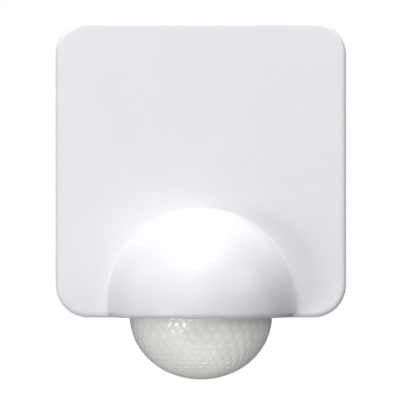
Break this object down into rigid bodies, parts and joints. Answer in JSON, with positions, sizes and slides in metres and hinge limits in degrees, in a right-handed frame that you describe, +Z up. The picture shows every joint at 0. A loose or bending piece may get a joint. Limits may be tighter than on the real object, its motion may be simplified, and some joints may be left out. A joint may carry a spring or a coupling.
{
  "type": "motion sensor",
  "caption": "White outdoor wall motion sensor: square pull-off plate with a ball-shaped hood and a hanging honeycomb lens dome, plug-in electronics and wall box.",
  "frame": {"origin": "middle of the plate's width and height, on the back face of the back box, which is the wall's surface", "axes": "+Y into the wall, -Y the way the plate faces, +X to the right seen from the front, +Z up"},
  "size_m": [0.08, 0.0657, 0.0987],
  "materials": {
    "white_cover": "fine satin moulded plastic, cool white",
    "white_housing": "moulded plastic, white",
    "lens_polyethylene": "milky translucent polyethylene with a honeycomb of small lenses",
    "grey_foam": "closed-cell foam",
    "black_rubber": "moulded rubber",
    "terminal_plastic": "pale grey polyamide",
    "brass_contacts": "stamped brass",
    "screw_steel": "zinc-plated steel",
    "green_board": "circuit board with solder mask",
    "relay_blue": "moulded blue plastic",
    "capacitor_yellow": "moulded yellow box",
    "capacitor_sleeve": "shrink sleeve, dark blue",
    "varistor_blue": "dipped epoxy",
    "fuse_brown": "moulded cap",
    "ferrite_black": "ferrite",
    "black_plastic": "moulded black plastic",
    "sensor_can": "drawn nickel-plated can",
    "dark_epoxy": "tinted clear epoxy",
    "red_epoxy": "tinted epoxy lamp",
    "grey_knob": "moulded grey plastic"
  },
  "bodies": {
    "base": {"wall_base": "white_housing", "wall_gasket": "grey_foam", "rear_grommet": "black_rubber", "bottom_grommet": "black_rubber", "terminal_block": "terminal_plastic", "terminal_cages": "brass_contacts", "terminal_screws": "screw_steel", "contact_strips": "brass_contacts", "block_screws": "screw_steel"},
    "module": {"module_housing": "white_housing", "module_back": "white_housing", "module_seal": "black_rubber", "pin_carrier": "terminal_plastic", "plug_pins": "brass_contacts", "fixing_screws": "screw_steel", "power_board": "green_board", "board_screws": "screw_steel", "relay": "relay_blue", "film_capacitor": "capacitor_yellow", "electrolytic_capacitors": "capacitor_sleeve", "varistor": "varistor_blue", "fuse": "fuse_brown", "choke": "ferrite_black", "trimmers": "relay_blue", "board_header": "black_plastic", "sensor_board": "green_board", "sensor_holder": "black_plastic", "pyro_sensors": "sensor_can", "light_sensor": "dark_epoxy", "status_led": "red_epoxy", "lens_seal": "black_rubber", "lens_dome": "lens_polyethylene", "lens_ring": "white_housing"},
    "time_knob": {"time_knob": "grey_knob"},
    "lux_knob": {"lux_knob": "grey_knob"},
    "range_knob": {"range_knob": "grey_knob"},
    "cover": {"front_cover": "white_cover"}
  },
  "joints": [
    {"name": "module_pull", "type": "slide", "parent": "base", "child": "module", "axis": [0, -1, 0], "range_m": [0, 0.03]},
    {"name": "cover_pull", "type": "slide", "parent": "module", "child": "cover", "axis": [0, -1, 0], "range_m": [0, 0.06]},
    {"name": "time_knob_turn", "type": "hinge", "parent": "module", "child": "time_knob", "pos_m": [-0.019, -0.0355, 0.021], "axis": [0, -1, 0], "range_deg": [-135, 135]},
    {"name": "lux_knob_turn", "type": "hinge", "parent": "module", "child": "lux_knob", "pos_m": [0, -0.0355, 0.021], "axis": [0, -1, 0], "range_deg": [-135, 135]},
    {"name": "range_knob_turn", "type": "hinge", "parent": "module", "child": "range_knob", "pos_m": [0.019, -0.0355, 0.021], "axis": [0, -1, 0], "range_deg": [-135, 135]}
  ]
}
